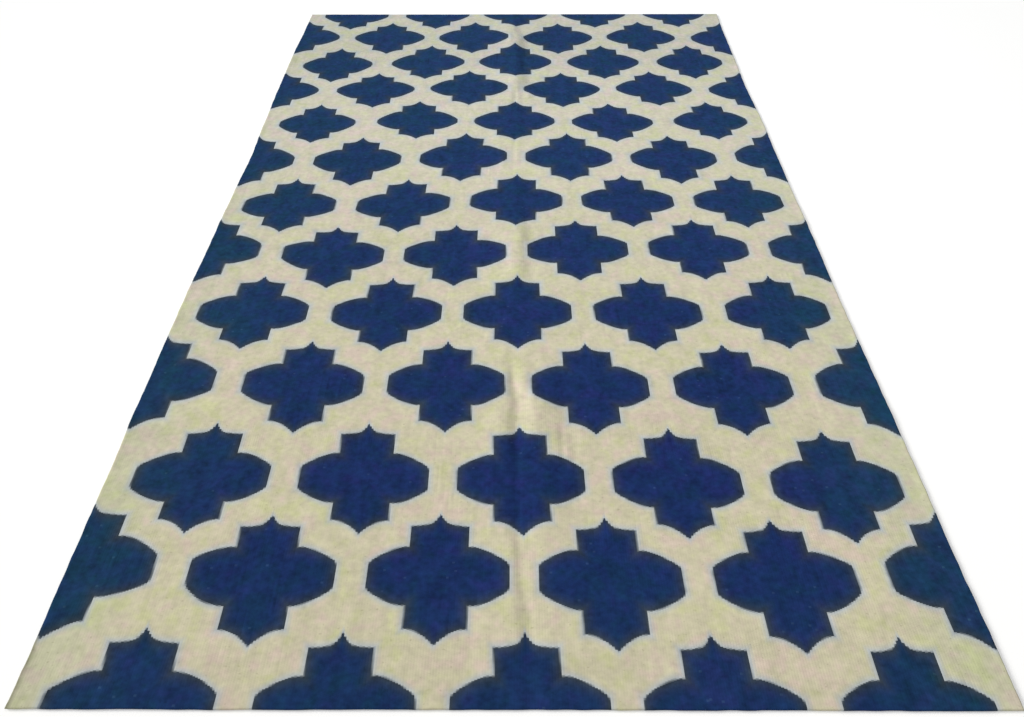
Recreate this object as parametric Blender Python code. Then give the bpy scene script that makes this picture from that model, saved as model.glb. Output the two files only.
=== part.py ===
"""A flat-woven kilim rug, lying open on a floor.

The rug is one cloth, woven in one piece: its sides are the weave's own edges
and its ends are turned under and pressed flat, so nothing is sewn on to it.
It has been stored folded. One fold runs along its middle, up as a ridge in the
far half, steeper to the right, and down as a groove between two swells in the
near half, and two fainter folds run across it.

X runs across the rug, Y along it from the near end to the far end, and Z is
up. The origin is the middle of its box, on the floor. Sizes are in metres.
"""

from typing import NamedTuple

import bmesh
import bpy
import numpy as np

WIDTH = 1.53
LENGTH = 2.435
THICKNESS = 0.0045

# The grid has wide cells where the cloth lies flat and narrow ones over its folds.
FLAT_COLUMN = 0.16
FOLD_COLUMN = 0.015
FLAT_ROW = 0.08
FOLD_ROW = 0.024
FOLD_BAND = (-0.14, 0.135)

# How far the ridge's two slopes reach, and each swell's crest and foot, from the line of the middle fold.
RIDGE_LEFT = 0.13
RIDGE_RIGHT = 0.038
LEFT_CREST = 0.022
LEFT_FOOT = 0.09
RIGHT_CREST = 0.042
RIGHT_FOOT = 0.115

# The undyed yarn of the ground, in linear colour.
GROUND_COLOUR = (0.58, 0.55, 0.43, 1.0)
GROUND_ROUGHNESS = 0.92


class SideEdges(NamedTuple):
    """How far each side stands in from the full width, at a distance from the near end."""

    along: float
    left_in: float
    right_in: float


class EndEdges(NamedTuple):
    """How far each end stands in from the full length, at a distance from the middle."""

    across: float
    near_in: float
    far_in: float


class MiddleFold(NamedTuple):
    """The middle fold at a distance from the near end: its line, and the heights of its forms."""

    along: float
    line: float
    ridge: float
    left_swell: float
    right_swell: float


class CrossFold(NamedTuple):
    """A low fold across the rug, at a distance from the near end."""

    along: float
    height: float
    reach: float


SIDES = (
    SideEdges(0.00, 0.0038, 0.0004),
    SideEdges(0.09, 0.0048, 0.0000),
    SideEdges(0.24, 0.0038, 0.0027),
    SideEdges(0.40, 0.0038, 0.0027),
    SideEdges(0.58, 0.0012, 0.0042),
    SideEdges(0.88, 0.0000, 0.0072),
    SideEdges(1.12, 0.0036, 0.0060),
    SideEdges(1.30, 0.0062, 0.0076),
    SideEdges(1.48, 0.0108, 0.0072),
    SideEdges(1.66, 0.0060, 0.0056),
    SideEdges(1.88, 0.0030, 0.0106),
    SideEdges(2.10, 0.0014, 0.0066),
    SideEdges(2.28, 0.0052, 0.0052),
    SideEdges(2.435, 0.0062, 0.0008),
)

ENDS = (
    EndEdges(-0.765, 0.0010, 0.0000),
    EndEdges(-0.42, 0.0003, 0.0008),
    EndEdges(-0.05, 0.0009, 0.0012),
    EndEdges(0.36, 0.0003, 0.0006),
    EndEdges(0.765, 0.0000, 0.0010),
)

MIDDLE_FOLD = (
    MiddleFold(0.00, 0.025, 0.0000, 0.0004, 0.0002),
    MiddleFold(0.12, 0.024, 0.0000, 0.0020, 0.0010),
    MiddleFold(0.21, 0.023, 0.0000, 0.0020, 0.0012),
    MiddleFold(0.30, 0.011, 0.0000, 0.0014, 0.0028),
    MiddleFold(0.44, 0.008, 0.0000, 0.0024, 0.0036),
    MiddleFold(0.53, 0.005, 0.0000, 0.0036, 0.0054),
    MiddleFold(0.57, 0.008, 0.0000, 0.0036, 0.0070),
    MiddleFold(0.63, 0.002, 0.0000, 0.0022, 0.0024),
    MiddleFold(0.72, -0.001, 0.0004, 0.0008, 0.0012),
    MiddleFold(0.90, 0.004, 0.0020, 0.0000, 0.0000),
    MiddleFold(1.02, 0.006, 0.0036, 0.0000, 0.0000),
    MiddleFold(1.12, 0.007, 0.0052, 0.0000, 0.0000),
    MiddleFold(1.28, 0.002, 0.0030, 0.0000, 0.0000),
    MiddleFold(1.46, -0.002, 0.0010, 0.0000, 0.0000),
    MiddleFold(1.70, -0.001, 0.0012, 0.0000, 0.0000),
    MiddleFold(1.84, 0.002, 0.0034, 0.0000, 0.0000),
    MiddleFold(1.92, 0.001, 0.0080, 0.0000, 0.0000),
    MiddleFold(2.06, 0.005, 0.0056, 0.0000, 0.0000),
    MiddleFold(2.22, 0.009, 0.0088, 0.0000, 0.0000),
    MiddleFold(2.30, -0.010, 0.0060, 0.0000, 0.0000),
    MiddleFold(2.435, -0.002, 0.0006, 0.0000, 0.0000),
)

CROSS_FOLDS = (
    CrossFold(0.54, 0.0011, 0.06),
    CrossFold(1.20, 0.0013, 0.07),
)


def eased(at, table, column):
    """A table's column at a place given by the table's first column, levelling out at each row."""
    places = np.array([row[0] for row in table])
    values = np.array([getattr(row, column) for row in table])
    low = int(np.clip(np.searchsorted(places, at, side="right") - 1, 0, len(places) - 2))
    share = (at - places[low]) / (places[low + 1] - places[low])
    share = share * share * (3 - 2 * share)
    return values[low] + (values[low + 1] - values[low]) * share


def bell(distance, reach):
    """1 at no distance, easing to 0 at the reach."""
    return 0.5 * (1 + np.cos(np.pi * min(abs(distance) / reach, 1)))


def ridge(aside):
    """1 at the line: to the left it falls at once and levels out, to the right it drops in a short eased slope."""
    if aside < 0:
        return (1 - min(-aside / RIDGE_LEFT, 1)) ** 2
    return bell(aside, RIDGE_RIGHT)


def swell(distance, crest, foot):
    """0 up to the line, easing to 1 at the crest and back to 0 at the foot."""
    reach = crest if distance < crest else foot - crest
    return bell(distance - crest, reach)


def underside_height(across, along):
    """How high the cloth's underside lies over the floor."""
    aside = across - eased(along, MIDDLE_FOLD, "line")
    height = eased(along, MIDDLE_FOLD, "ridge") * ridge(aside)
    height += eased(along, MIDDLE_FOLD, "left_swell") * swell(-aside, LEFT_CREST, LEFT_FOOT)
    height += eased(along, MIDDLE_FOLD, "right_swell") * swell(aside, RIGHT_CREST, RIGHT_FOOT)
    for fold in CROSS_FOLDS:
        height = max(height, fold.height * bell(along - fold.along, fold.reach))
    return height


def underside_point(across, along):
    """A point of the underside: the flat rectangle drawn in to its uneven outline and lifted over the folds."""
    to_left = max(-2 * across / WIDTH, 0)
    to_right = max(2 * across / WIDTH, 0)
    to_far = along / LENGTH
    x = across + to_left * eased(along, SIDES, "left_in") - to_right * eased(along, SIDES, "right_in")
    y = along + (1 - to_far) * eased(across, ENDS, "near_in") - to_far * eased(across, ENDS, "far_in")
    return x, y - LENGTH / 2, underside_height(across, along)


def grid_lines(low, high, bands, flat_step, fold_step):
    """Places from low to high, in wide steps on the flat and in narrow ones across each band."""
    stops = [low, *[edge for band in bands for edge in band], high]
    lines = [low]
    for index, (start, end) in enumerate(zip(stops, stops[1:])):
        step = fold_step if index % 2 else flat_step
        cells = max(1, round((end - start) / step))
        lines.extend(np.linspace(start, end, cells + 1)[1:])
    return lines


def cloth_mesh():
    """The cloth's underside as one sheet of triangles, its box centred on the origin."""
    columns = grid_lines(-WIDTH / 2, WIDTH / 2, [FOLD_BAND], FLAT_COLUMN, FOLD_COLUMN)
    bands = [(fold.along - fold.reach, fold.along + fold.reach) for fold in CROSS_FOLDS]
    rows = grid_lines(0, LENGTH, bands, FLAT_ROW, FOLD_ROW)
    sheet = bmesh.new()
    points = [[sheet.verts.new(underside_point(x, y)) for x in columns] for y in rows]
    for near, far in zip(points, points[1:]):
        for corners in zip(near, near[1:], far[1:], far):
            sheet.faces.new(corners)
    for axis in (0, 1):
        places = [vertex.co[axis] for vertex in sheet.verts]
        middle = (min(places) + max(places)) / 2
        for vertex in sheet.verts:
            vertex.co[axis] -= middle
    bmesh.ops.triangulate(sheet, faces=sheet.faces[:])
    mesh = bpy.data.meshes.new("kilim_rug")
    sheet.to_mesh(mesh)
    sheet.free()
    return mesh


def cloth_material():
    """Matt undyed yarn, the ground of the rug's two colours."""
    material = bpy.data.materials.new("flat_woven_wool")
    material.use_nodes = True
    shader = material.node_tree.nodes["Principled BSDF"]
    shader.inputs["Base Color"].default_value = GROUND_COLOUR
    shader.inputs["Roughness"].default_value = GROUND_ROUGHNESS
    shader.inputs["Metallic"].default_value = 0.0
    return material


def make_rug():
    """The rug: its underside, thickened upwards."""
    rug = bpy.data.objects.new("kilim_rug", cloth_mesh())
    rug.data.materials.append(cloth_material())
    bpy.context.scene.collection.objects.link(rug)
    thickness = rug.modifiers.new("cloth_thickness", "SOLIDIFY")
    thickness.thickness = THICKNESS
    thickness.offset = 1.0
    thickness.use_even_offset = True


for leftover in list(bpy.data.objects):
    bpy.data.objects.remove(leftover)
make_rug()
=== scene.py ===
"""The looks of a flat-woven kilim rug: its cloth, its weave and yarns, and the studio round it.

X runs across the rug, Y along it from the near end to the far end, and Z is up.
The origin is the middle of the rug's box, on the floor. Sizes are in metres.
"""

import logging
import math
from collections.abc import Sequence
from dataclasses import dataclass
from enum import Enum
from typing import NamedTuple

import bpy
import numpy as np
from mathutils import Matrix, Vector


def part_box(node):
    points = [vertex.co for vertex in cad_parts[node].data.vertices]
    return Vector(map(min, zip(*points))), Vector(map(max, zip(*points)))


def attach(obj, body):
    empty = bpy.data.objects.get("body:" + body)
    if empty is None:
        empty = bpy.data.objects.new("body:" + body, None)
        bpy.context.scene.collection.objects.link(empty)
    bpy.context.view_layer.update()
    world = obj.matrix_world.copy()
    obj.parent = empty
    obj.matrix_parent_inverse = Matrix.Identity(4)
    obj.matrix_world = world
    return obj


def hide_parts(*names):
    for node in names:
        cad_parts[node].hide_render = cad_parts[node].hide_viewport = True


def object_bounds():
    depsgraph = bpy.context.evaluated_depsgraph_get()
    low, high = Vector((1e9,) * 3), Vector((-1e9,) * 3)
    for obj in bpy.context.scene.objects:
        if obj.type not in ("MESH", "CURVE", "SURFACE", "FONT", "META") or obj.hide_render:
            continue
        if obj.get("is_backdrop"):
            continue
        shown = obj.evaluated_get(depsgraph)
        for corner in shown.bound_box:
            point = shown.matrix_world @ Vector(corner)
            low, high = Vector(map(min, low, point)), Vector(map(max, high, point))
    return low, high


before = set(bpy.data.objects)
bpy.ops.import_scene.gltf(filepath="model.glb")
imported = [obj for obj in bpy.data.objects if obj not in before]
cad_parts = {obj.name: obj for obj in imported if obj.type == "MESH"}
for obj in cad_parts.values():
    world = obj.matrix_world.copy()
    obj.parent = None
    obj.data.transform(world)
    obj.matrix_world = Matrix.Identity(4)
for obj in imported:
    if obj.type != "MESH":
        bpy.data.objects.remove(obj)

LOG = logging.getLogger("kilim_rug")

RUG_NODE = "kilim_rug"
RUG_BODY = "root"

WEAVE_MAP = "weave"
BAKE_MAP = "OFBake"

# A chart cell's width and height, the share of its height above and below its middle
# that is true to size, and how near its outer edge a place is held.
CELL_WIDTH = 0.301
CELL_HEIGHT = 0.400
CELL_TRUE = 0.36
CELL_EDGE = 0.02

# How late towards the sides the rows' shift and gather fade out, and how steeply the stretch grows there.
HOLD_POWER = 4
SIDE_POWER = 11

# A draw times this number, less its whole part, serves as one more draw.
REDRAW = 7

# Socket numbers of a colour Mix node.
MIX_SHARE = 0
MIX_FIRST = 6
MIX_SECOND = 7
MIX_COLOUR = 2

Colour = tuple[float, float, float, float]


class SideEdges(NamedTuple):
    """How far each side stands in from the full width, at a distance from the near end."""

    along: float
    left_in: float
    right_in: float


class EndEdges(NamedTuple):
    """How far each end stands in from the full length, at a distance from the middle."""

    across: float
    near_in: float
    far_in: float


class MiddleFold(NamedTuple):
    """The middle fold at a distance from the near end.

    It is given by its line, its ridge's height, how far the ridge takes to
    drop on the right, and the heights of its swells.
    """

    along: float
    line: float
    ridge: float
    drop: float
    left_swell: float
    right_swell: float


class CrossFold(NamedTuple):
    """A low fold across the rug, at a distance from the near end."""

    along: float
    height: float
    reach: float


class Crease(NamedTuple):
    """The middle fold's pressed line, sunk into the cloth's upper side, at a distance from the near end.

    It wanders a little to the right of the fold's line, or to the left below 0.
    """

    along: float
    to_right: float
    depth: float


class Pucker(NamedTuple):
    """A long low rise of the cloth by the middle fold: its middle, its reach each way and its height."""

    across: float
    along: float
    reach_across: float
    reach_along: float
    height: float


class Waves(NamedTuple):
    """A sum of waves: how many, the shortest, the longest, and the seed of their random draws."""

    count: int
    shortest: float
    longest: float
    seed: int


class MotifRow(NamedTuple):
    """A row of medallions, as the weaver's beat and tension have set it.

    Its distance from the near end at six places across, its shift to the
    right, how far the sides draw it out from the middle, and its medallions'
    height as a share of the usual one.
    """

    left_side: float
    left: float
    middle_left: float
    middle_right: float
    right: float
    right_side: float
    shift: float
    gather: float
    tallness: float


SIDES = (
    SideEdges(0.00, 0.0038, 0.0004),
    SideEdges(0.09, 0.0048, 0.0000),
    SideEdges(0.24, 0.0038, 0.0027),
    SideEdges(0.40, 0.0038, 0.0027),
    SideEdges(0.58, 0.0012, 0.0042),
    SideEdges(0.88, 0.0000, 0.0072),
    SideEdges(1.12, 0.0036, 0.0060),
    SideEdges(1.30, 0.0062, 0.0076),
    SideEdges(1.48, 0.0108, 0.0072),
    SideEdges(1.66, 0.0060, 0.0056),
    SideEdges(1.88, 0.0030, 0.0106),
    SideEdges(2.10, 0.0014, 0.0066),
    SideEdges(2.28, 0.0052, 0.0052),
    SideEdges(2.435, 0.0062, 0.0008),
)

ENDS = (
    EndEdges(-0.765, 0.0010, 0.0000),
    EndEdges(-0.42, 0.0003, 0.0008),
    EndEdges(-0.05, 0.0009, 0.0012),
    EndEdges(0.36, 0.0003, 0.0006),
    EndEdges(0.765, 0.0000, 0.0010),
)

MIDDLE_FOLD = (
    MiddleFold(0.00, 0.025, 0.0000, 0.038, 0.0004, 0.0002),
    MiddleFold(0.12, 0.024, 0.0000, 0.038, 0.0020, 0.0010),
    MiddleFold(0.21, 0.023, 0.0000, 0.038, 0.0020, 0.0012),
    MiddleFold(0.30, 0.011, 0.0000, 0.038, 0.0014, 0.0028),
    MiddleFold(0.44, 0.008, 0.0000, 0.038, 0.0024, 0.0036),
    MiddleFold(0.53, 0.005, 0.0000, 0.038, 0.0036, 0.0054),
    MiddleFold(0.57, 0.008, 0.0000, 0.038, 0.0036, 0.0070),
    MiddleFold(0.63, 0.002, 0.0000, 0.038, 0.0022, 0.0024),
    MiddleFold(0.72, -0.001, 0.0004, 0.038, 0.0008, 0.0012),
    MiddleFold(0.90, 0.004, 0.0020, 0.038, 0.0000, 0.0000),
    MiddleFold(1.02, 0.006, 0.0036, 0.042, 0.0000, 0.0000),
    MiddleFold(1.12, 0.007, 0.0054, 0.048, 0.0000, 0.0000),
    MiddleFold(1.28, 0.002, 0.0030, 0.040, 0.0000, 0.0000),
    MiddleFold(1.46, -0.002, 0.0010, 0.038, 0.0000, 0.0000),
    MiddleFold(1.70, -0.001, 0.0012, 0.038, 0.0000, 0.0000),
    MiddleFold(1.84, 0.002, 0.0034, 0.038, 0.0000, 0.0000),
    MiddleFold(1.92, 0.001, 0.0088, 0.060, 0.0000, 0.0000),
    MiddleFold(2.06, 0.005, 0.0056, 0.042, 0.0000, 0.0000),
    MiddleFold(2.22, 0.004, 0.0092, 0.053, 0.0000, 0.0000),
    MiddleFold(2.30, -0.010, 0.0060, 0.040, 0.0000, 0.0000),
    MiddleFold(2.435, -0.002, 0.0006, 0.038, 0.0000, 0.0000),
)

CROSS_FOLDS = (
    CrossFold(0.54, 0.0011, 0.06),
    CrossFold(1.20, 0.0013, 0.07),
)

CREASES = (
    Crease(0.000, 0.000, 0.0004),
    Crease(0.140, 0.005, 0.0010),
    Crease(0.200, -0.010, 0.0012),
    Crease(0.320, 0.000, 0.0006),
    Crease(0.530, 0.003, 0.0019),
    Crease(0.600, 0.003, 0.0015),
    Crease(0.645, -0.002, 0.0021),
    Crease(0.685, 0.000, 0.0002),
    Crease(0.850, 0.000, 0.0000),
    Crease(1.340, 0.000, 0.0000),
    Crease(1.410, 0.001, 0.0009),
    Crease(1.480, 0.004, 0.0009),
    Crease(1.560, 0.007, 0.0010),
    Crease(1.700, 0.002, 0.0004),
    Crease(1.820, 0.004, 0.0023),
    Crease(1.890, 0.000, 0.0003),
    Crease(2.160, 0.000, 0.0000),
    Crease(2.270, 0.000, 0.0009),
    Crease(2.435, 0.000, 0.0000),
)

PUCKERS = (
    Pucker(0.086, 0.490, 0.010, 0.080, 0.0010),
    Pucker(0.106, 0.470, 0.009, 0.060, 0.0008),
    Pucker(0.037, 0.596, 0.018, 0.032, 0.0024),
    Pucker(0.022, 0.642, 0.018, 0.036, 0.0024),
    Pucker(0.020, 0.700, 0.028, 0.055, 0.0015),
    Pucker(-0.004, 1.020, 0.016, 0.070, 0.0011),
    Pucker(0.016, 1.000, 0.030, 0.060, 0.0012),
    Pucker(0.022, 1.112, 0.023, 0.050, 0.0014),
    Pucker(-0.029, 1.475, 0.018, 0.080, 0.0023),
    Pucker(0.048, 1.825, 0.024, 0.045, 0.0030),
    Pucker(0.024, 1.922, 0.050, 0.036, 0.0030),
    Pucker(-0.028, 2.060, 0.014, 0.060, 0.0008),
    Pucker(-0.010, 2.220, 0.011, 0.050, 0.0013),
    Pucker(-0.040, 2.220, 0.012, 0.030, 0.0010),
    Pucker(0.028, 2.220, 0.030, 0.040, 0.0013),
)

MOTIF_ROWS = (
    MotifRow(0.004, -0.003, -0.003, -0.003, -0.005, -0.009, 0.027, 0.018, 1.00),
    MotifRow(0.226, 0.208, 0.211, 0.203, 0.200, 0.209, 0.021, 0.016, 1.00),
    MotifRow(0.407, 0.408, 0.402, 0.402, 0.397, 0.389, 0.015, 0.021, 1.02),
    MotifRow(0.642, 0.629, 0.627, 0.625, 0.619, 0.628, 0.012, 0.006, 1.05),
    MotifRow(0.847, 0.840, 0.847, 0.847, 0.842, 0.846, 0.012, 0.004, 1.00),
    MotifRow(1.065, 1.038, 1.045, 1.064, 1.066, 1.062, 0.010, -0.008, 0.98),
    MotifRow(1.248, 1.248, 1.270, 1.270, 1.267, 1.266, 0.008, 0.001, 0.98),
    MotifRow(1.456, 1.452, 1.474, 1.473, 1.462, 1.472, 0.008, -0.012, 1.02),
    MotifRow(1.656, 1.678, 1.672, 1.672, 1.661, 1.671, 0.005, 0.004, 0.91),
    MotifRow(1.854, 1.859, 1.875, 1.861, 1.868, 1.852, 0.008, -0.004, 0.92),
    MotifRow(2.029, 2.050, 2.054, 2.054, 2.048, 2.049, 0.009, 0.006, 1.00),
    MotifRow(2.238, 2.231, 2.238, 2.229, 2.240, 2.222, 0.009, 0.001, 1.01),
    MotifRow(2.421, 2.427, 2.438, 2.438, 2.435, 2.437, 0.007, 0.024, 1.00),
)


class Lattice(Enum):
    """The two staggered sets of medallions.

    Each is given by its map's name, its first row in the table, of which it
    takes every second one, how many medallions wide it is, how far its
    outermost ones are drawn out at the rug's sides, and where its rows'
    places at the side, half way there and by the middle lie, over half the
    width.
    """

    WHOLE_ROWS = ("whole_rows", 0, 5, 0.0, 0.78, 0.39, 0.10)
    HALF_STEP_ROWS = ("half_step_rows", 1, 6, 0.0065, 0.91, 0.59, 0.19)

    @property
    def map_name(self) -> str:
        """The name of its map."""
        return self.value[0]

    @property
    def rows(self) -> tuple[MotifRow, ...]:
        """Its rows, from the near end."""
        return MOTIF_ROWS[self.value[1] :: 2]

    @property
    def columns(self) -> int:
        """How many medallions wide it is, cut ones too."""
        return self.value[2]

    @property
    def side_stretch(self) -> float:
        """How far its outermost medallions are drawn out at the rug's sides."""
        return self.value[3]

    @property
    def places(self) -> tuple[float, ...]:
        """The six places across of its rows' table."""
        side, half_way, inner = self.value[4:]
        return (-side, -half_way, -inner, inner, half_way, side)


class Grain(Enum):
    """The soft noises over the cloth.

    Each is given by how fast it runs across and along, to the metre or to
    the rib or stitch, by its layer in the noise, and by its detail.
    """

    BEND_ACROSS = (24.0, 24.0, 0.0, 1.5)
    BEND_ALONG = (24.0, 24.0, 168.0, 1.5)
    YARN = (60.0, 3.7, 0.0, 2.0)
    FIBRE = (900.0, 2200.0, 0.0, 2.0)
    MOTTLE = (80.0, 95.0, 2.0, 2.0)
    PATCH = (32.0, 25.0, 6.0, 2.0)
    STREAK = (3.1, 9.0, 5.0, 2.0)
    STREAKY = (7.0, 7.0, 8.0, 1.0)
    HUE = (34.0, 34.0, 4.0, 3.0)
    BROAD_HUE = (8.0, 8.0, 11.0, 1.0)
    BROAD = (3.1, 3.1, 9.0, 2.0)
    FLECK = (150.0, 200.0, 3.0, 1.0)


def eased_through(at: np.ndarray, places: Sequence[float], values: Sequence[float]) -> np.ndarray:
    """Values through given ones at given places, levelling out at each.

    Between two places the share s of the way is eased to s * s * (3 - 2 * s).

    Args:
        at: Where the values are wanted.
        places: The given places, in rising order.
        values: The values there.

    Returns:
        The values, in the shape of the first argument.
    """
    places, values = np.array(places), np.array(values)
    low = np.clip(np.searchsorted(places, at, side="right") - 1, 0, len(places) - 2)
    share = np.clip((at - places[low]) / (places[low + 1] - places[low]), 0, 1)
    share = share * share * (3 - 2 * share)
    return values[low] + (values[low + 1] - values[low]) * share


def eased(at: np.ndarray, table: Sequence[NamedTuple], column: str) -> np.ndarray:
    """A table's column at places given by its first column, levelling out at each row.

    Args:
        at: The places, in the unit of the table's first column.
        table: Rows of named columns, in rising order of the first one.
        column: The name of the column to read.

    Returns:
        The values, in the shape of the places.
    """
    return eased_through(at, [row[0] for row in table], [getattr(row, column) for row in table])


def bell(distance: np.ndarray, reach: np.ndarray | float) -> np.ndarray:
    """1 at no distance, easing to 0 at the reach: half of 1 plus a cosine's half turn."""
    return 0.5 * (1 + np.cos(np.pi * np.clip(np.abs(distance) / reach, 0, 1)))


def tent(distance: np.ndarray, reach: float, rounding: float) -> np.ndarray:
    """1 at the line and 0 at the reach, steepest beside the line, whose crest is rounded off.

    The distance is softened to the root of its square plus the rounding's square.
    """
    soft = np.sqrt(distance**2 + rounding**2) - rounding
    return (1 - np.clip(soft / reach, 0, 1)) ** 2


def ripples(across: np.ndarray, along: np.ndarray, waves: Waves) -> np.ndarray:
    """A sum of plane sine waves of random direction, length and phase, between about -1 and 1.

    Each wave is the sine of 2 pi times the place along it over its length,
    plus its phase. The sum is divided by the root of their number.

    Args:
        across: Places across the rug.
        along: Places along the rug, in the same shape.
        waves: Which waves are added.

    Returns:
        The sum at each place.
    """
    draw = np.random.default_rng(waves.seed)
    total = np.zeros(np.broadcast(across, along).shape)
    for _ in range(waves.count):
        heading = draw.uniform(0, math.tau)
        length = draw.uniform(waves.shortest, waves.longest)
        place = (across * math.cos(heading) + along * math.sin(heading)) / length
        total += np.sin(math.tau * (place + draw.uniform()))
    return total / math.sqrt(waves.count)


def spaced(start: float, end: float, pitch: float) -> np.ndarray:
    """Even places from a start to an end, about one pitch apart."""
    return np.linspace(start, end, round((end - start) / pitch) + 1)


@dataclass(frozen=True)
class RugCloth:
    """The woven cloth, as one closed sheet lying on the floor.

    Places on it are given flat, as distances across from the middle and along
    from the near end, and are then moved to the uneven outline and the folds.
    The grid's extra lines at the hems are given in half thicknesses, and the
    selvedge's crest and the turned end's flat part as shares of their widths.
    """

    width: float
    length: float
    thickness: float = 0.0045

    flat_column: float = 0.0095
    fold_column: float = 0.0045
    row: float = 0.0105
    hem_places: tuple[float, float] = (0.7, 1.7)
    rim_rings: int = 5
    fold_left: float = -0.10
    fold_right: float = 0.135

    ridge_left: float = 0.13
    ridge_rounding: float = 0.003
    left_crest: float = 0.022
    left_foot: float = 0.09
    right_crest: float = 0.042
    right_foot: float = 0.115

    selvedge: float = 0.009
    selvedge_crest: float = 0.4
    selvedge_extra: float = 0.0006
    end_turn: float = 0.016
    end_turn_flat: float = 0.5
    end_turn_extra: float = 0.0004

    side_wave: float = 0.0006
    side_waves: Waves = Waves(9, 0.014, 0.055, seed=8)
    side_wave_power: int = 12
    end_wave: float = 0.0005
    end_waves: Waves = Waves(9, 0.02, 0.07, seed=9)
    end_wave_power: int = 24
    uneven: float = 0.0004
    uneven_waves: Waves = Waves(14, 0.09, 0.34, seed=4)

    crease_half: float = 0.007
    cross_wander: float = 0.006
    cross_wander_length: float = 0.65
    bake_margin: float = 0.004

    def ridge(self, aside: np.ndarray, drop: np.ndarray) -> np.ndarray:
        """1 at the line, with a long slope to the left and a short eased drop to the right.

        The left side is the square of what is left of its reach, so it falls
        at once and levels out. The right side is a bell's far half.
        """
        return np.where(aside < 0, tent(aside, self.ridge_left, self.ridge_rounding), bell(aside, drop))

    def swell(self, distance: np.ndarray, crest: float, foot: float) -> np.ndarray:
        """0 up to the line, easing to 1 at the crest and back to 0 at the foot: two half bells."""
        past = distance - crest
        return bell(past, np.where(past < 0, crest, foot - crest))

    def lift(self, across: np.ndarray, along: np.ndarray) -> np.ndarray:
        """How high the cloth's underside lies over the floor.

        The middle fold is its ridge's height times the ridge's shape, plus
        each swell's height times a swell's shape to that side. A cross fold
        is a bell along the rug, and the higher of the two holds. Puckers are
        bells both ways. Slow ripples that never reach below the floor are
        added.

        Args:
            across: Distances from the middle.
            along: Distances from the near end.

        Returns:
            The heights.
        """
        aside = across - eased(along, MIDDLE_FOLD, "line")
        drop = eased(along, MIDDLE_FOLD, "drop")
        height = eased(along, MIDDLE_FOLD, "ridge") * self.ridge(aside, drop)
        left = self.swell(-aside, self.left_crest, self.left_foot)
        right = self.swell(aside, self.right_crest, self.right_foot)
        height += eased(along, MIDDLE_FOLD, "left_swell") * left
        height += eased(along, MIDDLE_FOLD, "right_swell") * right
        for fold in CROSS_FOLDS:
            turn = np.sin(math.tau * (across / self.cross_wander_length + fold.along))
            place = along - fold.along + self.cross_wander * turn
            height = np.maximum(height, fold.height * bell(place, fold.reach))
        for pucker in PUCKERS:
            rise_across = bell(across - pucker.across, pucker.reach_across)
            rise_along = bell(along - pucker.along, pucker.reach_along)
            height += pucker.height * (rise_across * rise_along)
        slow = ripples(across, along, self.uneven_waves)
        return height + self.uneven * 0.5 * (1 + np.tanh(slow))

    def sunk(self, across: np.ndarray, along: np.ndarray) -> np.ndarray:
        """How far the upper side sinks at the pressed line of the middle fold.

        It is the depth times e to the power of minus the square of the
        distance from the line over the crease's half width.
        """
        line = eased(along, MIDDLE_FOLD, "line") + eased(along, CREASES, "to_right")
        aside = (across - line) / self.crease_half
        return eased(along, CREASES, "depth") * np.exp(-(aside**2))

    def drawn_in(self, across: np.ndarray, along: np.ndarray) -> tuple[np.ndarray, np.ndarray]:
        """Flat places moved to the rug's uneven outline.

        Each half of the width is scaled so that its edge lands on the side's
        table plus a short wave, and the ends are moved likewise, less and
        less towards the other end.

        Args:
            across: Distances from the middle.
            along: Distances from the near end.

        Returns:
            The places across and along.
        """
        to_left = np.clip(-2 * across / self.width, 0, None)
        to_right = np.clip(2 * across / self.width, 0, None)
        to_far = along / self.length
        near_side = to_left**self.side_wave_power + to_right**self.side_wave_power
        near_end = np.abs(2 * to_far - 1) ** self.end_wave_power
        wave = ripples(np.sign(across), along, self.side_waves)
        x = across + to_left * eased(along, SIDES, "left_in") - to_right * eased(along, SIDES, "right_in")
        x -= np.sign(across) * self.side_wave * near_side * (1 + np.tanh(wave))
        y = along + (1 - to_far) * eased(across, ENDS, "near_in") - to_far * eased(across, ENDS, "far_in")
        wave = ripples(across, np.round(to_far), self.end_waves)
        y += (0.5 - to_far) * 2 * self.end_wave * near_end * (1 + np.tanh(wave))
        return x, y

    def half_thickness(self, across: np.ndarray, along: np.ndarray) -> np.ndarray:
        """Half the cloth's thickness, which grows at the selvedges and the turned ends.

        The growth is a bell of the distance to the edge.
        """
        to_side = self.width / 2 - np.abs(across)
        to_end = np.minimum(along, self.length - along)
        past_crest = to_side - self.selvedge * self.selvedge_crest
        past_flat = np.maximum(to_end - self.end_turn * self.end_turn_flat, 0)
        side_extra = self.selvedge_extra * bell(past_crest, self.selvedge)
        end_extra = self.end_turn_extra * bell(past_flat, self.end_turn)
        return 0.5 * (self.thickness + np.maximum(side_extra, end_extra))

    def columns(self) -> np.ndarray:
        """Places of the grid's columns, closer together over the middle fold and at the sides."""
        inset = self.thickness / 2
        edge = self.width / 2 - inset
        left = spaced(-edge, self.fold_left, self.flat_column)
        fold = spaced(self.fold_left, self.fold_right, self.fold_column)
        right = spaced(self.fold_right, edge, self.flat_column)
        hem = inset * np.array(self.hem_places)
        return np.unique(np.concatenate([left, fold, right, hem - edge, edge - hem]).round(6))

    def rows(self) -> np.ndarray:
        """Places of the grid's rows, closer together at the ends."""
        inset = self.thickness / 2
        edge = self.length - inset
        body = spaced(inset, edge, self.row)
        hem = inset * np.array(self.hem_places)
        return np.unique(np.concatenate([body, inset + hem, edge - hem]).round(6))

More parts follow.
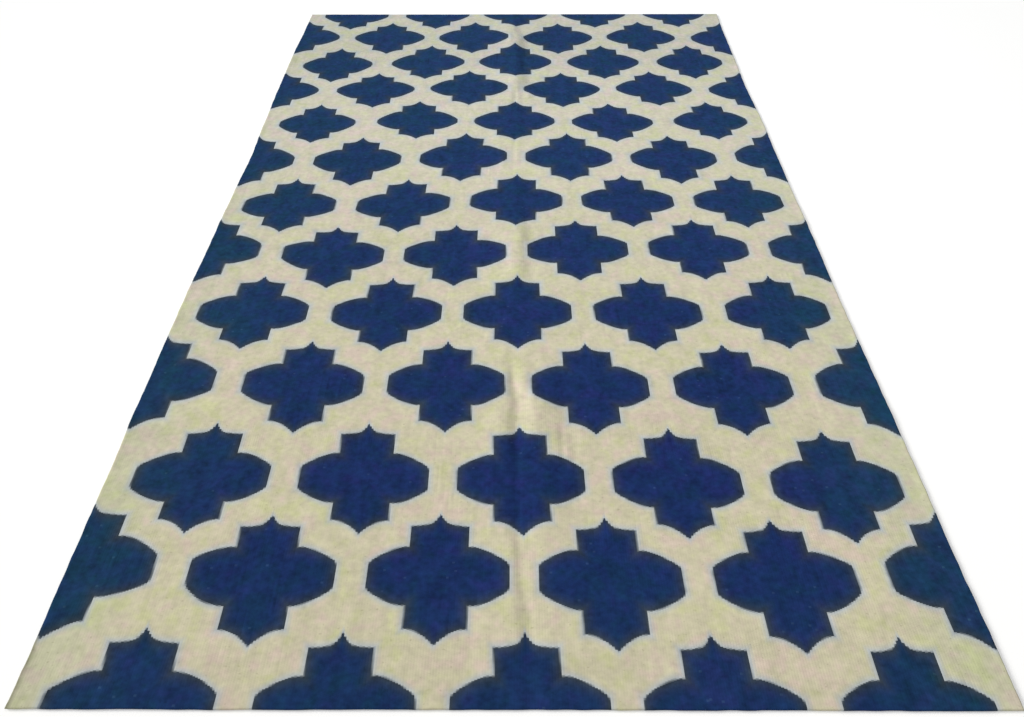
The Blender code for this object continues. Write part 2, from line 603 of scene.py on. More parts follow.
    def build_mesh(self) -> bpy.types.Mesh:
        """Makes the closed sheet and its four maps.

        The top and the underside are one grid at plus and minus half the
        thickness. Rings run round its border between them, each the border
        moved outwards by the half thickness times the cosine of the ring's
        angle and up by the same times its sine, a half circle from top to
        underside. The place of every point is the outline's place, at the
        lift plus half the thickness plus its height in the cloth.

        Returns:
            The mesh, with its maps for the weave, the two charts and the bake.
        """
        across, along = np.meshgrid(self.columns(), self.rows())
        row_count, column_count = across.shape
        top = np.arange(across.size).reshape(across.shape)
        border = np.concatenate([top[0, :-1], top[:-1, -1], top[-1, :0:-1], top[:0:-1, 0]])
        column = border % column_count
        row = border // column_count
        out_x = (column == column_count - 1).astype(float) - (column == 0)
        out_y = (row == row_count - 1).astype(float) - (row == 0)
        inset = self.thickness / 2
        flat_x = [across.ravel()] * 2
        flat_y = [along.ravel()] * 2
        height = [np.ones(across.size), -np.ones(across.size)]
        for angle in np.linspace(90, -90, self.rim_rings + 2)[1:-1]:
            reach = inset * math.cos(math.radians(angle))
            flat_x.append(across.ravel()[border] + out_x * reach)
            flat_y.append(along.ravel()[border] + out_y * reach)
            height.append(np.full(len(border), math.sin(math.radians(angle))))
        flat_x, flat_y, height = (np.concatenate(part) for part in (flat_x, flat_y, height))

        half = self.half_thickness(flat_x, flat_y)
        x, y = self.drawn_in(flat_x, flat_y)
        sunk = self.sunk(flat_x, flat_y) * (1 + height) / 2
        z = self.lift(flat_x, flat_y) + half * (1 + height) - sunk
        places = np.stack([x, y - self.length / 2, z], axis=1)

        faces = [np.stack([top[:-1, :-1], top[:-1, 1:], top[1:, 1:], top[1:, :-1]], axis=-1).reshape(-1, 4)]
        faces.append(faces[0][:, ::-1] + across.size)
        first = 2 * across.size
        rings = [first + ring * len(border) + np.arange(len(border)) for ring in range(self.rim_rings)]
        for upper, lower in zip([border, *rings], [*rings, border + across.size]):
            faces.append(np.stack([upper, lower, np.roll(lower, -1), np.roll(upper, -1)], axis=1))
        mesh = mesh_of(RUG_NODE, places, np.concatenate(faces))

        bake_u = (flat_x / self.width + 0.5) * (1 - 2 * self.bake_margin) + self.bake_margin
        bake_v = flat_y / self.length * (1 - 2 * self.bake_margin) + self.bake_margin
        add_map(mesh, WEAVE_MAP, flat_x + self.width / 2, flat_y)
        for lattice in Lattice:
            add_map(mesh, lattice.map_name, *chart_places(flat_x, flat_y, lattice, self.width / 2))
        add_map(mesh, BAKE_MAP, bake_u, bake_v)
        return mesh

    def build(self, material: bpy.types.Material) -> bpy.types.Object:
        """Makes the rug's object and dresses it.

        Args:
            material: The cloth's material.

        Returns:
            The rug, riding on the part's body in place of the plain solid.
        """
        rug = bpy.data.objects.new("woven_rug", self.build_mesh())
        bpy.context.scene.collection.objects.link(rug)
        rug.data.materials.append(material)
        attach(rug, RUG_BODY)
        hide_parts(RUG_NODE)
        return rug


def chart_places(
    across: np.ndarray, along: np.ndarray, lattice: Lattice, half_width: float
) -> tuple[np.ndarray, np.ndarray]:
    """Places in one lattice's chart, whose cells hold one medallion each, in their middle.

    With e the distance from the middle over half the rug's width, a row's
    line goes eased through its six places. Across, a place is its distance
    from the middle, less the row's shift minus its gather times e, which
    fades out towards the sides by 1 - e**4, and less the lattice's stretch
    at the sides times e**11, all over a cell's width. Along, it is its
    distance from the nearer row's line over a cell's height, true to size as
    far as a medallion reaches, and stretched or squeezed in the bare ground
    between two rows. Shift and gather change evenly from row to row.

    Args:
        across: Distances from the rug's middle.
        along: Distances from its near end.
        lattice: The set of medallions.
        half_width: Half the rug's width.

    Returns:
        The chart's columns and rows, in cells.
    """
    aside = across / half_width
    shift, gather, tallness = (
        np.array([getattr(row, name) for row in lattice.rows])[:, None]
        for name in ("shift", "gather", "tallness")
    )
    lines = [eased_through(aside, lattice.places, row[: len(lattice.places)]) for row in lattice.rows]
    past = along - np.stack(lines)
    low = np.clip((past > 0).sum(axis=0) - 1, 0, len(lattice.rows) - 2)
    point = np.arange(across.size)
    past_low = past[low, point]
    past_high = past[low + 1, point]
    spacing = past_low - past_high

    share = np.clip(past_low / spacing, 0, 1)
    drawn = (shift - gather * aside) * (1 - aside**HOLD_POWER)
    drawn = drawn[low, point] * (1 - share) + drawn[low + 1, point] * share
    drawn += lattice.side_stretch * aside**SIDE_POWER
    column = (across - drawn) / CELL_WIDTH + lattice.columns / 2

    reach_low = CELL_TRUE * CELL_HEIGHT * tallness[low, 0]
    reach_high = CELL_TRUE * CELL_HEIGHT * tallness[low + 1, 0]
    from_low = past_low / reach_low * CELL_TRUE
    from_high = 1 + past_high / reach_high * CELL_TRUE
    ground = spacing - reach_low - reach_high
    between = CELL_TRUE + (1 - 2 * CELL_TRUE) * (past_low - reach_low) / ground
    row = np.select([past_low < reach_low, -past_high < reach_high], [from_low, from_high], between)
    return np.clip(column, CELL_EDGE, lattice.columns - CELL_EDGE), low + row + 0.5


def mesh_of(name: str, places: np.ndarray, faces: np.ndarray) -> bpy.types.Mesh:
    """A smooth mesh from arrays of places and of four-cornered faces.

    Args:
        name: The mesh's name.
        places: One row of X, Y and Z for each point.
        faces: One row of four point numbers for each face.

    Returns:
        The mesh.
    """
    mesh = bpy.data.meshes.new(name)
    mesh.vertices.add(len(places))
    mesh.vertices.foreach_set("co", places.ravel())
    mesh.loops.add(faces.size)
    mesh.loops.foreach_set("vertex_index", faces.ravel())
    mesh.polygons.add(len(faces))
    mesh.polygons.foreach_set("loop_start", np.arange(0, faces.size, 4))
    mesh.update(calc_edges=True)
    mesh.shade_smooth()
    return mesh


def add_map(mesh: bpy.types.Mesh, name: str, u: np.ndarray, v: np.ndarray) -> None:
    """Adds a UV map with one place for each point of the mesh."""
    corners = np.empty(len(mesh.loops), dtype=np.int32)
    mesh.loops.foreach_get("vertex_index", corners)
    layer = mesh.uv_layers.new(name=name)
    layer.uv.foreach_set("vector", np.stack([u, v], axis=1)[corners].astype(np.float32).ravel())


class Number:
    """A number on a node's socket. Python's operators on it add Math nodes."""

    def __init__(self, graph: "ShaderGraph", socket: bpy.types.NodeSocket) -> None:
        """Wraps a socket that gives a number."""
        self.graph = graph
        self.socket = socket

    def math(self, operation: str, *others: "Number | float") -> "Number":
        """A Math node of this number and up to two others."""
        return self.graph.math(operation, self, *others)

    def __add__(self, other: "Number | float") -> "Number":
        """The sum."""
        return self.math("ADD", other)

    def __sub__(self, other: "Number | float") -> "Number":
        """The difference."""
        return self.math("SUBTRACT", other)

    def __rsub__(self, other: float) -> "Number":
        """The difference, from the right."""
        return self.graph.math("SUBTRACT", other, self)

    def __mul__(self, other: "Number | float") -> "Number":
        """The product."""
        return self.math("MULTIPLY", other)

    def __truediv__(self, other: "Number | float") -> "Number":
        """The quotient."""
        return self.math("DIVIDE", other)

    def __pow__(self, other: "Number | float") -> "Number":
        """The power."""
        return self.math("POWER", other)

    def __abs__(self) -> "Number":
        """The size without its sign."""
        return self.math("ABSOLUTE")

    def __gt__(self, other: "Number | float") -> "Number":
        """1 where this is greater, and 0 elsewhere."""
        return self.math("GREATER_THAN", other)

    def floor(self) -> "Number":
        """The whole number at or below."""
        return self.math("FLOOR")

    def fraction(self) -> "Number":
        """What is left above the whole number below."""
        return self.math("FRACT")

    def lower(self, other: "Number | float") -> "Number":
        """The lower of the two."""
        return self.math("MINIMUM", other)

    def higher(self, other: "Number | float") -> "Number":
        """The higher of the two."""
        return self.math("MAXIMUM", other)

    def clamped(self) -> "Number":
        """This number held between 0 and 1."""
        return self.lower(1.0).higher(0.0)

    def step(self, start: float, end: float) -> "Number":
        """0 at the start and 1 at the end, eased between them."""
        node = self.graph.node(
            "ShaderNodeMapRange",
            {"interpolation_type": "SMOOTHSTEP"},
            {"Value": self, "From Min": start, "From Max": end},
        )
        return Number(self.graph, node.outputs["Result"])


class ShaderGraph:
    """The nodes of one material."""

    def __init__(self, name: str) -> None:
        """Starts a material with its Principled shader."""
        self.material = bpy.data.materials.new(name)
        self.material.use_nodes = True
        self.tree = self.material.node_tree
        self.shader = self.tree.nodes["Principled BSDF"]

    def node(self, kind: str, settings: dict | None = None, inputs: dict | None = None) -> bpy.types.Node:
        """Adds a node.

        Args:
            kind: The node's type.
            settings: Its properties, set before its sockets.
            inputs: Values or links for its sockets, by name or number.

        Returns:
            The node.
        """
        node = self.tree.nodes.new(kind)
        for name, value in (settings or {}).items():
            setattr(node, name, value)
        for name, value in (inputs or {}).items():
            self.feed(node.inputs[name], value)
        return node

    def feed(self, socket: bpy.types.NodeSocket, value: object) -> None:
        """Links a socket, or sets its value."""
        if isinstance(value, Number):
            self.tree.links.new(value.socket, socket)
        elif isinstance(value, bpy.types.NodeSocket):
            self.tree.links.new(value, socket)
        else:
            socket.default_value = value

    def math(self, operation: str, *values: "Number | float") -> Number:
        """A Math node of up to three numbers."""
        node = self.node("ShaderNodeMath", {"operation": operation}, dict(enumerate(values)))
        return Number(self, node.outputs[0])

    def place(self, name: str) -> tuple[Number, Number]:
        """The two numbers of a UV map."""
        uv = self.node("ShaderNodeUVMap", {"uv_map": name})
        parts = self.node("ShaderNodeSeparateXYZ", None, {"Vector": uv.outputs["UV"]})
        return Number(self, parts.outputs["X"]), Number(self, parts.outputs["Y"])

    def vector(self, x: Number, y: Number, z: float) -> bpy.types.NodeSocket:
        """Three numbers as one vector."""
        return self.node("ShaderNodeCombineXYZ", None, {"X": x, "Y": y, "Z": z}).outputs["Vector"]

    def noise(self, across: Number, along: Number, grain: Grain) -> Number:
        """Soft noise about 0.5, of one grain."""
        fast_across, fast_along, layer, detail = grain.value
        place = self.vector(across * fast_across, along * fast_along, layer)
        inputs = {"Vector": place, "Scale": 1.0, "Detail": detail}
        node = self.node("ShaderNodeTexNoise", {"noise_dimensions": "3D"}, inputs)
        return Number(self, node.outputs["Fac"])

    def draws(self, x: Number, y: Number, z: float) -> tuple[Number, Number, Number]:
        """Three random numbers from 0 to 1 for each whole-numbered place."""
        inputs = {"Vector": self.vector(x, y, z)}
        node = self.node("ShaderNodeTexWhiteNoise", {"noise_dimensions": "3D"}, inputs)
        parts = self.node("ShaderNodeSeparateColor", None, {"Color": node.outputs["Color"]})
        return tuple(Number(self, parts.outputs[name]) for name in ("Red", "Green", "Blue"))

    def blend(
        self, share: Number, first: object, second: object, how: str = "MIX"
    ) -> bpy.types.NodeSocket:
        """A mix of two colours, each a colour or a link."""
        inputs = {MIX_SHARE: share, MIX_FIRST: first, MIX_SECOND: second}
        node = self.node("ShaderNodeMix", {"data_type": "RGBA", "blend_type": how}, inputs)
        return node.outputs[MIX_COLOUR]


def linear(red: int, green: int, blue: int) -> Colour:
    """A screen colour of 0 to 255 as the linear colour that a shader takes.

    Each part p of 1 becomes ((p + 0.055) / 1.055) to the power 2.4, which
    holds for all but the darkest.
    """
    return (*(((part / 255 + 0.055) / 1.055) ** 2.4 for part in (red, green, blue)), 1.0)


@dataclass(frozen=True)
class Medallion:
    """One four-lobed medallion of the trellis, drawn about its centre, and how far each one strays.

    Towards the far end its side lobes are fuller, but finer at their ends, and
    its upper lobe rises more to its spike. The outermost medallions are a
    little slimmer than the rest, most of all in their outer lobe, and the
    whole ones more so at the far end. The cut ones are a little taller, and
    the side lobes of their rows lie a little higher. A medallion is outermost,
    or cut, from so many columns off the middle on.
    """

    lobe_half: float = 0.0535
    upper_shoulder: float = 0.094
    upper_rise: float = 0.009
    spike_height: float = 0.015
    spike_half: float = 0.019
    lower_shoulder: float = 0.0895
    lower_rise: float = 0.027

    side_half: float = 0.1245
    side_end: float = 0.0240
    notch: float = 0.053
    whole_row_drop: float = 0.002
    half_step_drop: float = -0.002
    side_level: float = 0.060
    side_power: float = 1.55
    side_rounding: float = 0.012

    far_notch: float = 0.0045
    far_side_drop: float = -0.002
    far_side_end: float = -0.012
    far_upper_rise: float = 0.007
    far_spike_half: float = 0.010

    outer_from: float = 1.5
    outer_slim: float = 0.035
    far_outer_slim: float = 0.060
    outer_bias: float = 0.7
    cut_from: float = 2.0
    cut_tallness: float = 0.045

    stray_across: float = 0.0012
    stray_along: float = 0.0015
    stray_size: float = 0.008
    stray_lean: float = 0.030

    def depth(
        self,
        graph: ShaderGraph,
        u: Number,
        v: Number,
        lattice: Lattice,
        wobble: tuple[Number, Number],
        far: Number,
    ) -> Number:
        """How deep a place lies inside its cell's medallion, in metres, and below 0 outside.

        An upright lobe reaches as high as its shoulder, plus a rise that
        falls off with the square of the distance from the middle, and the
        upper one has a narrow spike of the same form on top. The side lobes,
        whose middle lies a little low or high, reach as high as the notch,
        level at first and then falling with a power of the distance to their
        blunt ends, whose corners are rounded. The depth in each is the lower
        of its height and its breadth left over, and the higher of the two
        holds. An outermost medallion is narrowed on both sides of its
        middle, and that is moved outwards to keep its inner end in place.

        Args:
            graph: The material's nodes.
            u: The chart's column.
            v: The chart's row.
            lattice: Which set of medallions.
            wobble: Slow noises about 0 that bend the outline across and along.
            far: 0 in the near half and 1 in the far half, where the drawing changes.

        Returns:
            The depth.
        """
        draw_a, draw_b, draw_c = graph.draws(u.floor(), v.floor(), float(lattice.columns))
        x = (u.fraction() - 0.5) * CELL_WIDTH + (draw_a - 0.5) * (2 * self.stray_across) + wobble[0]
        y = (v.fraction() - 0.5) * CELL_HEIGHT + (draw_b - 0.5) * (2 * self.stray_along) + wobble[1]
        size = (draw_c - 0.5) * (2 * self.stray_size) + 1
        lean = ((draw_c * REDRAW).fraction() - 0.5) * (2 * self.stray_lean)
        outwards = (u - lattice.columns / 2).math("SIGN")
        slim = (abs(u.floor() - (lattice.columns - 1) / 2) > self.outer_from) * self.outer_slim
        drop = self.half_step_drop
        if lattice is Lattice.WHOLE_ROWS:
            slim = slim * (far * (self.far_outer_slim / self.outer_slim) + 1)
            drop = self.whole_row_drop
        else:
            y = y * (1 - (abs(u - lattice.columns / 2) > self.cut_from) * self.cut_tallness)
        x = x + y * lean - outwards * slim * (self.outer_bias * self.side_half)
        bias = (x * outwards).math("SIGN") * self.outer_bias
        a = abs(x) * size * ((bias + 1) * slim + 1)
        b = abs(y) * size
        above = y > 0.0
        shoulder = above * (self.upper_shoulder - self.lower_shoulder) + self.lower_shoulder
        rise = above * (far * self.far_upper_rise + (self.upper_rise - self.lower_rise)) + self.lower_rise
        inward = (1 - a * (1 / self.lobe_half)).clamped()
        spike = (1 - a / (far * self.far_spike_half + self.spike_half)).clamped()
        top = shoulder + rise * inward * inward + above * spike * spike * self.spike_height
        upright = (top - b).lower(self.lobe_half - a)
        out = ((a - self.side_level) * (1 / (self.side_half - self.side_level))).clamped()
        notch = far * self.far_notch + self.notch
        taper = notch - self.side_end - far * self.far_side_end
        side_b = abs(y * size + drop + far * self.far_side_drop)
        side = notch - out**self.side_power * taper - side_b
        return upright.higher(side.math("SMOOTH_MIN", self.side_half - a, self.side_rounding))


@dataclass(frozen=True)
class Yarn:
    """A dyed or undyed yarn.

    Its main colour, the tones that it strays to, its colour where it meets
    the other yarn, and how its colour is tinted towards the far end and faded at
    the sides.
    """

    main: Colour
    warm: Colour
    cool: Colour
    fleck: Colour
    join: Colour
    far_tint: Colour
    faded: Colour


CREAM = Yarn(
    main=linear(196, 190, 163),
    warm=linear(201, 186, 170),
    cool=linear(192, 191, 151),
    fleck=linear(138, 130, 102),
    join=linear(172, 180, 186),
    far_tint=(0.93, 0.96, 1.10, 1.0),
    faded=(0.935, 0.99, 0.97, 1.0),
)
BLUE = Yarn(
    main=linear(24, 43, 90),
    warm=linear(30, 41, 95),
    cool=linear(21, 46, 84),
    fleck=linear(58, 78, 120),
    join=linear(53, 61, 67),
    far_tint=(0.98, 1.40, 1.00, 1.0),
    faded=(0.97, 1.50, 0.86, 1.0),
)


@dataclass(frozen=True)
class FlatWeave:
    """The finish of the cloth: weft-faced wool over cotton warps, with the trellis woven in.

    A visible stitch of weft is as wide as a warp and as long as two picks,
    and stitches on neighbouring warps stand half a stitch apart, so a join of
    two colours that runs across the rug has teeth two warps apart.

    Each pair of numbers is a band over which something grows from nothing to
    full. A band is a distance across from the left side, or from the middle
    for the side and outer bands, or a distance along from the near end. The
    hue, streaky and fleck bands are shares of a noise.
    """

    middle: float = 0.765

    warp: float = 0.0045
    rib_height: float = 0.00006
    rib_power: float = 2.4
    stitch: float = 0.0034
    stitch_height: float = 0.00005
    stitch_power: float = 2.0
    fibre_height: float = 0.00004
    join_sink: float = 0.00016
    join_groove: float = 0.004
    join_soft: float = 0.0018
    snap: float = 0.6
    wobble: float = 0.0012

    corner_lean: float = 0.105
    corner_left: tuple[float, float] = (0.03, 0.10)
    corner_right: tuple[float, float] = (0.245, 0.28)
    corner_far: tuple[float, float] = (0.13, 0.20)

    cream_rim: float = 0.014
    cream_rim_growth: float = 0.010
    cream_rim_power: float = 1.5
    blue_rim: float = 0.029
    blue_rim_growth: float = 0.006
    blue_rim_power: float = 2.2

    far_drawing: tuple[float, float] = (1.2, 1.75)
    far_tint: tuple[float, float] = (0.1, 2.3)
    side: tuple[float, float] = (0.60, 0.73)
    outer: tuple[float, float] = (0.45, 0.74)
    outer_slant: float = 0.35
    near: tuple[float, float] = (0.02, 0.30)
    near_fade: float = 0.4

    warm_hue: tuple[float, float] = (0.5, 0.68)
    cool_hue: tuple[float, float] = (0.5, 0.32)
    hue_spread: float = 0.8
    broad_hue_spread: float = 0.5
    blue_hue_slant: float = 0.08

    yarn_tone: float = 0.08
    stitch_tone: float = 0.03
    fibre_tone: float = 0.10
    mottle_tone: float = 0.36
    patch_tone: float = 0.34
    streak_tone: float = 0.22
    streaky: tuple[float, float] = (0.46, 0.66)
    broad_tone: float = 0.08
    cream_fine: float = 0.7
    blue_fine: float = 2.4
    blue_coarse: float = 2.5

    # Painted light on the cream half way along the rug, and painted shade at both ends.
    painted_light_band: tuple[float, float] = (1.15, 1.45)
    painted_light_tone: float = 0.03
    painted_shade_far: tuple[float, float] = (1.9, 2.1)
    painted_shade_far_tone: float = 0.065
    painted_shade_near: tuple[float, float] = (0.02, 0.22)
    painted_shade_near_tone: float = 0.03
    # Painted shade on the cream in a strip along the left edge at the near end.
    selvedge_shade_band: tuple[float, float] = (0.0, 0.011)
    selvedge_shade_length: tuple[float, float] = (0.104, 0.13)
    selvedge_shade_tone: float = 0.5

    fleck: tuple[float, float] = (0.64, 0.80)
    cream_fleck: float = 0.35
    blue_fleck_from: float = 0.9975
    blue_fleck: float = 0.3

    roughness: float = 0.88
    roughness_spread: float = 0.12
    bump_strength: float = 0.8
    specular: float = 0.04
    sheen: float = 0.01
    sheen_roughness: float = 0.5

    def trellis(
        self,
        graph: ShaderGraph,
        medallion: Medallion,
        x: Number,
        y: Number,
        rib_place: Number,
        stitch_place: Number,
    ) -> Number:
        """How deep a place lies inside the trellis's medallions, in metres, and below 0 outside.

        The place is moved a share of the way to its stitch's middle, which
        gives the joins their teeth, and bent by slow noises. The upright of
        the medallion in the near left corner leans to the left.

        Args:
            graph: The material's nodes.
            medallion: The medallion that the trellis repeats.
            x: The place across.
            y: The place along.
            rib_place: Where on its rib the place is, about 0.
            stitch_place: Where on its stitch it is, about 0.

        Returns:
            The depth.
        """
        stitch_x = x - rib_place * self.warp
        stitch_y = y - stitch_place * self.stitch
        bend_across, bend_along = (
            (graph.noise(stitch_x, stitch_y, grain) - 0.5) * (2 * self.wobble)
            for grain in (Grain.BEND_ACROSS, Grain.BEND_ALONG)
        )
        in_corner = x.step(*self.corner_left) * (1 - x.step(*self.corner_right))
        in_corner = in_corner * (1 - y.step(*self.corner_far))
        bend_across = bend_across + in_corner * y * self.corner_lean
        far = y.step(*self.far_drawing)
        depths = []
        for lattice in Lattice:
            u, v = graph.place(lattice.map_name)
            stitch_u = u - rib_place * (self.snap * self.warp / CELL_WIDTH)
            stitch_v = v - stitch_place * (self.snap * self.stitch / CELL_HEIGHT)
            wobble = (bend_across, bend_along)
            depths.append(medallion.depth(graph, stitch_u, stitch_v, lattice, wobble, far))
        return depths[0].higher(depths[1])

    def rims(self, depth: Number, far_share: Number) -> tuple[Number, Number]:
        """How near the join a place lies on the cream and on the blue side: 1 at the join, 0 past the rim.

        The rims grow towards the far end, and fall off with a power of the distance left.
        """
        cream = (depth / (far_share * self.cream_rim_growth + self.cream_rim) + 1).clamped()
        blue = (1 - depth / (far_share * self.blue_rim_growth + self.blue_rim)).clamped()
        return cream**self.cream_rim_power, blue**self.blue_rim_power

    def fine_tone(
        self, graph: ShaderGraph, x: Number, stitch: Number, fibres: Number, draw: Number
    ) -> Number:
        """The small changes of brightness about 0: along the yarn, from stitch to stitch and by fibres."""
        yarn = graph.noise(x, stitch, Grain.YARN)
        tone = (yarn - 0.5) * self.yarn_tone + (draw - 0.5) * self.stitch_tone
        return tone + (fibres - 0.5) * self.fibre_tone

    def coarse_tone(self, graph: ShaderGraph, x: Number, y: Number, rib: Number) -> Number:
        """The large changes of brightness about 0: mottling, patches and streaks along the ribs."""
        streaky = graph.noise(x, y, Grain.STREAKY).step(*self.streaky)
        tone = (graph.noise(x, y, Grain.MOTTLE) - 0.5) * self.mottle_tone
        tone = tone + (graph.noise(x, y, Grain.PATCH) - 0.5) * self.patch_tone
        tone = tone + (graph.noise(rib, y, Grain.STREAK) - 0.5) * streaky * self.streak_tone
        return tone + (graph.noise(x, y, Grain.BROAD) - 0.5) * self.broad_tone

    def cream_painted_light_and_shade(self, x: Number, y: Number) -> Number:
        """How the cream's brightness drifts about 0.

        It is a painted pool of light half way along, painted shade at both ends, and a painted shade strip
        at the near left edge.
        """
        # Painted light half way along and painted shade at both ends.
        drift = y.step(*self.painted_light_band) * self.painted_light_tone - y.step(*self.painted_shade_far) * self.painted_shade_far_tone
        drift = drift - (1 - y.step(*self.painted_shade_near)) * self.painted_shade_near_tone
        # A strip of painted shade along the left edge at the near end.
        selvedge_shade = (1 - x.step(*self.selvedge_shade_band)) * (1 - y.step(*self.selvedge_shade_length))
        return drift - selvedge_shade * self.selvedge_shade_tone

    def yarn_colour(
        self,
        graph: ShaderGraph,
        yarn: Yarn,
        hue: Number,
        tone: Number,
        fleck: Number,
        join: Number,
        far_share: Number,
        fade: Number,
    ) -> bpy.types.NodeSocket:
        """A yarn's colour.

        Args:
            graph: The material's nodes.
            yarn: The yarn.
            hue: About 0.5, lower towards its cool tone and higher towards its warm tone.
            tone: The brightness about 1.
            fleck: The share of its fleck's colour.
            join: How near the join of the two yarns is.
            far_share: 0 at the near end and 1 at the far end, where the colour is tinted.
            fade: How far the colour has faded, as at the near ends of the sides.

        Returns:
            The colour's socket.
        """
        colour = graph.blend(hue.step(*self.warm_hue), yarn.main, yarn.warm)
        colour = graph.blend(hue.step(*self.cool_hue), colour, yarn.cool)
        colour = graph.blend(fleck, colour, yarn.fleck)
        colour = graph.blend(far_share, colour, yarn.far_tint, "MULTIPLY")
        colour = graph.blend(fade, colour, yarn.faded, "MULTIPLY")
        colour = graph.blend(join, colour, yarn.join)
        scaled = graph.node("ShaderNodeVectorMath", {"operation": "SCALE"}, {0: colour, "Scale": tone})
        return scaled.outputs["Vector"]

    def build(self, medallion: Medallion) -> bpy.types.Material:
        """Makes the cloth's material.

        Args:
            medallion: The medallion that the trellis repeats.

        Returns:
            The material.
        """
        graph = ShaderGraph("flat_woven_wool")
        x, y = graph.place(WEAVE_MAP)
        rib = x * (1 / self.warp)
        rib_number = rib.floor()
        stitch = y * (1 / self.stitch) + (rib_number * 0.5).fraction()
        stitch_number = stitch.floor()
        rib_place = rib.fraction() - 0.5
        stitch_place = stitch.fraction() - 0.5
        depth = self.trellis(graph, medallion, x, y, rib_place, stitch_place)

        aside = x - self.middle
        far_share = y.step(*self.far_tint)
        near_share = 1 - far_share
        side = abs(aside).step(*self.side)
        outer = abs(aside).step(*self.outer)
        near = 1 - y.step(*self.near)
        cream_rim, blue_rim = self.rims(depth, far_share)

        stitch_draw, fleck_draw, _ = graph.draws(rib_number, stitch_number, 1.0)
        fibres = graph.noise(x, y, Grain.FIBRE)
        fine = self.fine_tone(graph, x, stitch_number, fibres, stitch_draw)
        coarse = self.coarse_tone(graph, x, y, rib_number)
        hue = (graph.noise(x, y, Grain.HUE) - 0.5) * self.hue_spread + 0.5
        hue = (graph.noise(x, y, Grain.BROAD_HUE) - 0.5) * self.broad_hue_spread + hue

        # The cream's tone takes in painted light and shade along the rug and at the near left edge.
        cream_tone = fine * self.cream_fine + coarse + self.cream_painted_light_and_shade(x, y) + 1
        cream_fleck = graph.noise(x, y, Grain.FLECK).step(*self.fleck) * self.cream_fleck
        cream = self.yarn_colour(
            graph, CREAM, hue, cream_tone, cream_fleck, cream_rim, far_share, side * near_share
        )
        blue_tone = fine * self.blue_fine + coarse * self.blue_coarse + 1
        blue_fleck = (fleck_draw > self.blue_fleck_from) * self.blue_fleck
        blue_hue = aside * self.blue_hue_slant + hue
        blue_fade = (outer * near_share * (aside * self.outer_slant + 1)).higher(near * self.near_fade)
        blue = self.yarn_colour(
            graph, BLUE, blue_hue, blue_tone, blue_fleck, blue_rim, far_share, blue_fade
        )
        colour = graph.blend(depth.step(-self.join_soft, self.join_soft), cream, blue)

        rib_form = 1 - abs(rib_place * 2) ** self.rib_power
        stitch_form = 1 - abs(stitch_place * 2) ** self.stitch_power
        groove = 1 - abs(depth).step(0.0, self.join_groove)
        height = rib_form * (stitch_form * self.stitch_height + self.rib_height)
        height = height + (fibres - 0.5) * self.fibre_height - groove * self.join_sink
        inputs = {"Strength": self.bump_strength, "Distance": 1.0, "Height": height}
        bump = graph.node("ShaderNodeBump", None, inputs)

        shader = graph.shader
        graph.feed(shader.inputs["Base Color"], colour)
        graph.feed(shader.inputs["Roughness"], (fibres - 0.5) * self.roughness_spread + self.roughness)
        graph.feed(shader.inputs["Normal"], bump.outputs["Normal"])
        shader.inputs["Sheen Weight"].default_value = self.sheen
        shader.inputs["Sheen Roughness"].default_value = self.sheen_roughness
        shader.inputs["Specular IOR Level"].default_value = self.specular
        return graph.material


@dataclass(frozen=True)
class Lamp:
    """One lamp of the studio: a square soft light aimed at a place."""

    name: str
    place: tuple[float, float, float]
    aim: tuple[float, float, float]
    side: float
    power: float
    colour: tuple[float, float, float]

    def build(self) -> bpy.types.Object:
        """Makes the lamp."""
        light = bpy.data.lights.new(self.name, "AREA")
        light.shape = "SQUARE"
        light.size = self.side
        light.energy = self.power
        light.color = self.colour
        lamp = bpy.data.objects.new(self.name, light)
        lamp.location = self.place
        heading = Vector(self.aim) - Vector(self.place)
        lamp.rotation_euler = heading.to_track_quat("-Z", "Y").to_euler()
        bpy.context.scene.collection.objects.link(lamp)
        return lamp


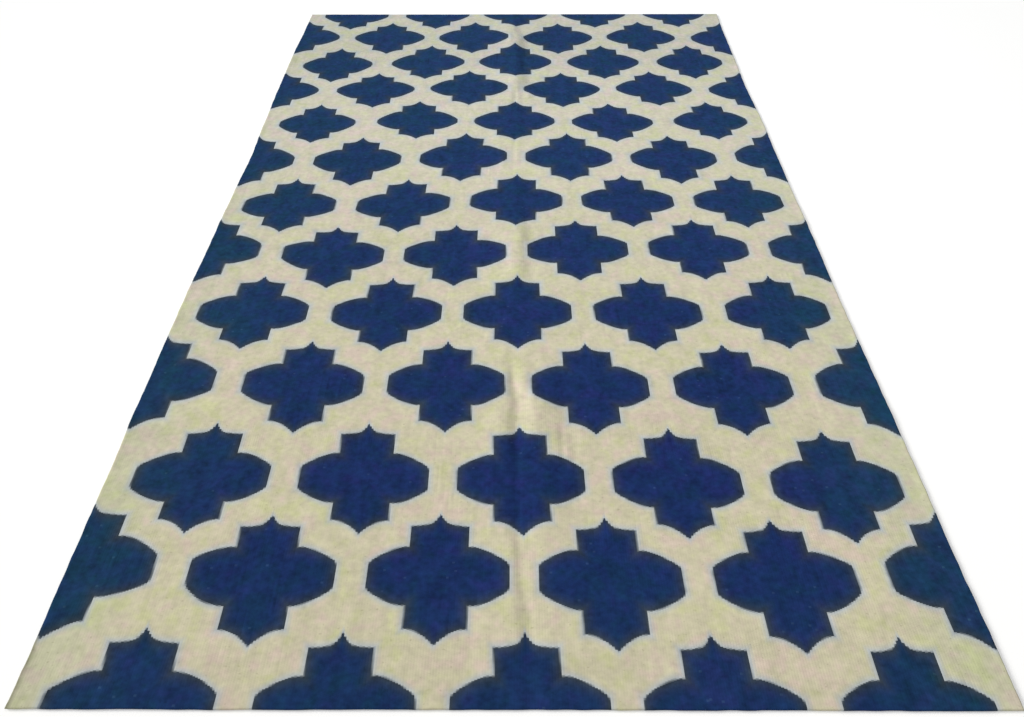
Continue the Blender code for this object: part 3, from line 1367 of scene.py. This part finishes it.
@dataclass(frozen=True)
class Studio:
    """The pale floor, the soft light and the camera at the photograph's place."""

    floor_side: float = 16.0
    floor_drop: float = 0.0004
    floor_colour: Colour = (0.64, 0.64, 0.64, 1.0)
    floor_roughness: float = 0.9
    floor_glow_colour: Colour = (1.0, 1.0, 1.0, 1.0)
    floor_glow: float = 0.34

    eye: tuple[float, float, float] = (0.0035, -1.5303, 1.1482)
    pitch_down: float = 48.405
    turn_left: float = 0.288
    roll: float = -0.222
    focal: float = 25.04
    sensor: float = 36.0

    sky: Colour = (1.0, 1.0, 1.0, 1.0)
    sky_strength: float = 0.38

    key_share: float = 0.56
    key_elevation: float = 28.0
    key_turn: float = 12.0
    key_width: float = 26.0
    key_colour: tuple[float, float, float] = (1.0, 0.99, 0.96)

    lamps: tuple[Lamp, ...] = (
        Lamp("overhead", (0.0, 0.25, 1.9), (0.0, 0.25, 0.0), 1.2, 9.0, (1.0, 0.97, 0.93)),
        Lamp("far_window", (0.0, 2.3, 1.3), (0.0, 1.1, 0.0), 1.6, 4.5, (0.35, 0.75, 1.0)),
    )

    def build_floor(self) -> bpy.types.Object:
        """Makes the floor, one square just under the rug."""
        half = self.floor_side / 2
        places = np.full((4, 3), -self.floor_drop)
        places[:, :2] = [(-half, -half), (half, -half), (half, half), (-half, half)]
        mesh = mesh_of("studio_floor", places, np.array([[0, 1, 2, 3]]))
        floor = bpy.data.objects.new("studio_floor", mesh)
        graph = ShaderGraph("pale_floor")
        graph.shader.inputs["Base Color"].default_value = self.floor_colour
        graph.shader.inputs["Roughness"].default_value = self.floor_roughness
        graph.shader.inputs["Emission Color"].default_value = self.floor_glow_colour
        graph.shader.inputs["Emission Strength"].default_value = self.floor_glow
        floor.data.materials.append(graph.material)
        bpy.context.scene.collection.objects.link(floor)
        floor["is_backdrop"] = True
        return floor

    def build_camera(self) -> bpy.types.Object:
        """Makes the camera, turned to the left, tipped down and rolled a little."""
        lens = bpy.data.cameras.new("camera")
        lens.sensor_fit = "HORIZONTAL"
        lens.sensor_width = self.sensor
        lens.lens = self.focal
        camera = bpy.data.objects.new("camera", lens)
        turned = Matrix.Rotation(math.radians(self.turn_left), 4, "Z")
        tipped = Matrix.Rotation(math.radians(90 - self.pitch_down), 4, "X")
        rolled = Matrix.Rotation(math.radians(self.roll), 4, "Z")
        camera.matrix_world = Matrix.Translation(self.eye) @ turned @ tipped @ rolled
        bpy.context.scene.collection.objects.link(camera)
        bpy.context.scene.camera = camera
        return camera

    def build_light(self) -> None:
        """Makes the even sky and the lamps, and shows colours as they are."""
        world = bpy.data.worlds.new("studio")
        world.use_nodes = True
        sky = world.node_tree.nodes["Background"]
        sky.inputs["Color"].default_value = self.sky
        sky.inputs["Strength"].default_value = self.sky_strength
        bpy.context.scene.world = world
        bpy.context.scene.view_settings.view_transform = "Standard"
        self.build_key()
        for lamp in self.lamps:
            lamp.build()

    def build_key(self) -> bpy.types.Object:
        """Makes the main light, a wide sun from the left.

        Its strength is pi times its share of the light, over the sine of its elevation.
        """
        light = bpy.data.lights.new("key", "SUN")
        light.angle = math.radians(self.key_width)
        light.color = self.key_colour
        light.energy = math.pi * self.key_share / math.sin(math.radians(self.key_elevation))
        key = bpy.data.objects.new("key", light)
        turned = Matrix.Rotation(math.radians(-self.key_turn), 4, "Z")
        tipped = Matrix.Rotation(math.radians(self.key_elevation - 90), 4, "Y")
        key.matrix_world = turned @ tipped
        bpy.context.scene.collection.objects.link(key)
        return key

    def build(self) -> None:
        """Makes the camera, the floor and the light."""
        self.build_camera()
        self.build_floor()
        self.build_light()


def corners(box: tuple[Vector, Vector]) -> list[list[float]]:
    """A box's lowest and highest corners as plain lists."""
    return [list(corner) for corner in box]


def main() -> None:
    """Builds the studio and the rug."""
    logging.basicConfig(level=logging.INFO, format="%(name)s: %(message)s")
    cad_box = corners(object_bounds())
    low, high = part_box(RUG_NODE)
    Studio().build()
    cloth = RugCloth(width=high.x - low.x, length=high.y - low.y)
    rug = cloth.build(FlatWeave().build(Medallion()))
    LOG.info("%s: %d points, %d faces", rug.name, len(rug.data.vertices), len(rug.data.polygons))
    {"cad": cad_box, "visual": corners(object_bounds())}


if __name__ == "__main__":
    main()
